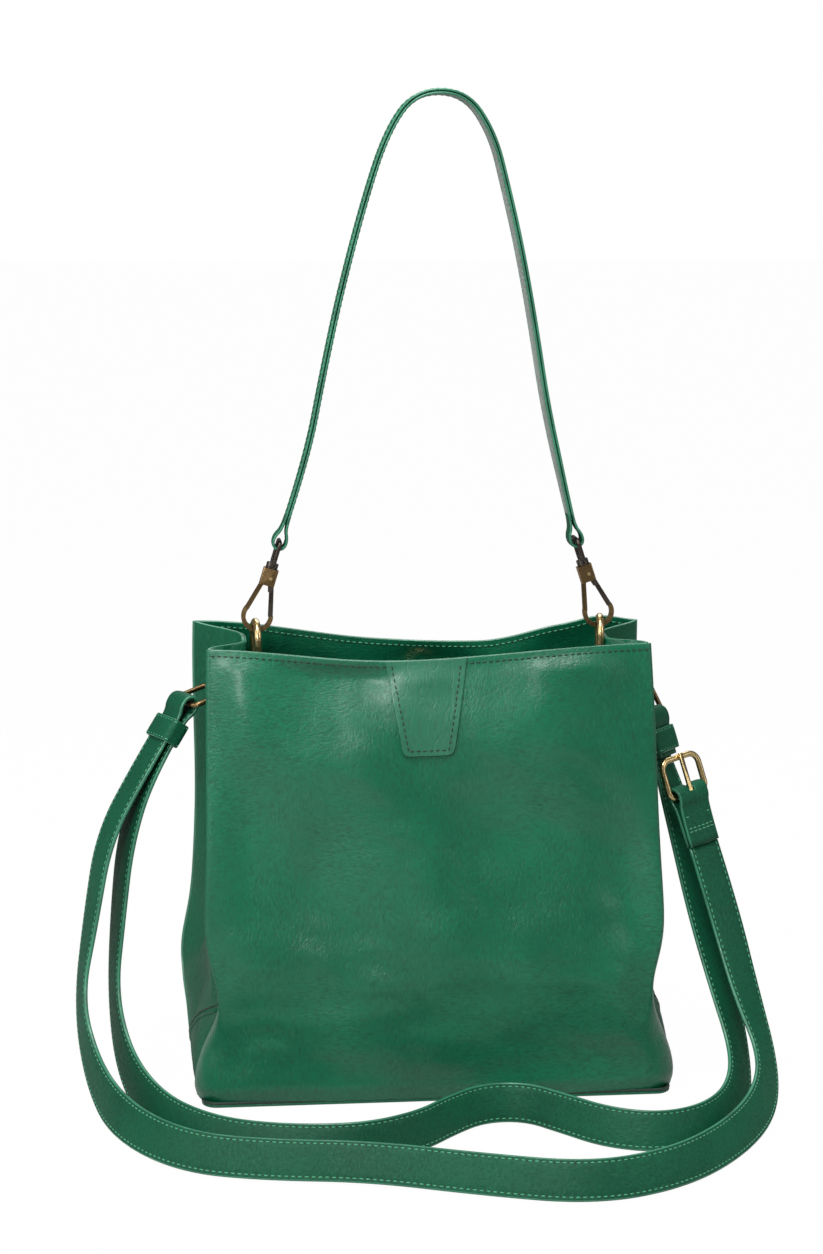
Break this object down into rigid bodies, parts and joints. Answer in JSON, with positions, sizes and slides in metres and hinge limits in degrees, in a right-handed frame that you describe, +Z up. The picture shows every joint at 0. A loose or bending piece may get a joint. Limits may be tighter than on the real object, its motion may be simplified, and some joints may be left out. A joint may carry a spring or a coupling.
{
  "type": "bucket bag",
  "caption": "Green leather bucket bag with a clip-on shoulder handle on swivel clips and a long doubled crossbody strap.",
  "frame": {"origin": "middle of the underside of the base, where the bag stands on the floor", "axes": "+Z up, +X to the bag's right seen from the front, +Y towards its back; the front panel with the sewn tab faces -Y"},
  "size_m": [0.3992, 0.294, 0.5728],
  "materials": {
    "leather": "semi-gloss, fine creased grain",
    "suede_backing": "matt flesh side",
    "lining": "matt twill",
    "board": "matt",
    "zip_tape": "woven",
    "antique_brass": "antique, brushed",
    "pale_brass": "satin, polished on edges",
    "gunmetal": "dark plated"
  },
  "bodies": {
    "root": {"base_panel": "leather", "front_panel": "leather", "back_panel": "leather", "left_side_panel": "leather", "right_side_panel": "leather", "base_board": "board", "front_lining": "lining", "front_facing": "leather", "back_lining": "lining", "back_facing": "leather", "left_lining": "lining", "right_lining": "lining", "front_tab": "leather", "front_snap": "pale_brass", "back_snap": "pale_brass", "divider_front": "lining", "divider_back": "lining", "divider_floor": "lining", "zip_tape_front": "zip_tape", "zip_tape_back": "zip_tape", "zip_teeth": "antique_brass", "zip_stops": "antique_brass", "left_ring_tab": "leather", "right_ring_tab": "leather", "ring_rivets": "pale_brass", "left_side_ring": "antique_brass", "right_side_ring": "antique_brass", "left_side_patch": "leather", "right_side_patch": "leather", "left_side_tab": "leather", "right_side_tab": "leather", "side_studs": "antique_brass", "strap_left_fold": "leather", "strap_right_fold": "leather", "strap_front_run": "leather", "strap_back_run": "leather", "strap_tip": "leather", "buckle_frame": "pale_brass", "buckle_fold": "leather"},
    "left_ring": {"left_handle_ring": "pale_brass"},
    "right_ring": {"right_handle_ring": "pale_brass"},
    "handle": {"handle_outer": "leather", "handle_backing": "suede_backing", "handle_left_loop": "leather", "handle_right_loop": "leather", "left_swivel_eye": "gunmetal", "right_swivel_eye": "gunmetal"},
    "left_clip": {"left_clip_frame": "antique_brass", "left_gate_pin": "gunmetal", "left_gate_spring": "gunmetal"},
    "left_gate": {"left_clip_gate": "antique_brass"},
    "right_clip": {"right_clip_frame": "antique_brass", "right_gate_pin": "gunmetal", "right_gate_spring": "gunmetal"},
    "right_gate": {"right_clip_gate": "antique_brass"},
    "zip_slider": {"zip_slider": "antique_brass"},
    "zip_pull": {"zip_pull": "antique_brass"},
    "left_keeper": {"left_keeper": "leather"},
    "right_keeper": {"right_keeper": "leather"},
    "prong": {"buckle_prong": "pale_brass"}
  },
  "joints": [
    {"name": "left_ring_tilt", "type": "hinge", "parent": "root", "child": "left_ring", "pos_m": [-0.1005, 0, 0.2465], "axis": [-0.1045, 0.9945, 0], "range_deg": [-1, 1]},
    {"name": "right_ring_tilt", "type": "hinge", "parent": "root", "child": "right_ring", "pos_m": [0.1005, 0, 0.2465], "axis": [0.1045, 0.9945, 0], "range_deg": [-1, 1]},
    {"name": "handle_swing", "type": "hinge", "parent": "root", "child": "handle", "pos_m": [0, 0, 0.2604], "axis": [1, 0, 0], "range_deg": [-70, 70]},
    {"name": "left_clip_swivel", "type": "hinge", "parent": "handle", "child": "left_clip", "pos_m": [-0.10221, 0, 0.26491], "axis": [0.2924, 0, 0.9563], "range_deg": [-8, 8]},
    {"name": "left_gate_hinge", "type": "hinge", "parent": "left_clip", "child": "left_gate", "pos_m": [-0.09156, 0, 0.29563], "axis": [0, 1, 0], "range_deg": [0, 20], "stiffness_Nm_per_rad": 0.01, "springref_deg": -5.73},
    {"name": "right_clip_swivel", "type": "hinge", "parent": "handle", "child": "right_clip", "pos_m": [0.10231, 0, 0.26494], "axis": [-0.309, 0, 0.9511], "range_deg": [-8, 8]},
    {"name": "right_gate_hinge", "type": "hinge", "parent": "right_clip", "child": "right_gate", "pos_m": [0.09341, 0, 0.29622], "axis": [0, 1, 0], "range_deg": [0, 20], "stiffness_Nm_per_rad": 0.01, "springref_deg": -5.73},
    {"name": "zip_slide", "type": "slide", "parent": "root", "child": "zip_slider", "axis": [1, 0, 0], "range_m": [0, 0.16]},
    {"name": "zip_pull_hinge", "type": "hinge", "parent": "zip_slider", "child": "zip_pull", "pos_m": [-0.08435, 0, 0.2277], "axis": [0, -1, 0], "range_deg": [-3, 92]},
    {"name": "left_keeper_slide", "type": "slide", "parent": "root", "child": "left_keeper", "axis": [-0.5198, -0.2424, -0.8192], "range_m": [-0.004, 0.005]},
    {"name": "right_keeper_slide", "type": "slide", "parent": "root", "child": "right_keeper", "axis": [0.262, -0.1904, -0.9461], "range_m": [-0.001, 0.003]},
    {"name": "prong_hinge", "type": "hinge", "parent": "root", "child": "prong", "pos_m": [0.1496, -0.0257, 0.1694], "axis": [0.852, 0.506, 0.1341], "range_deg": [0, 100]}
  ]
}
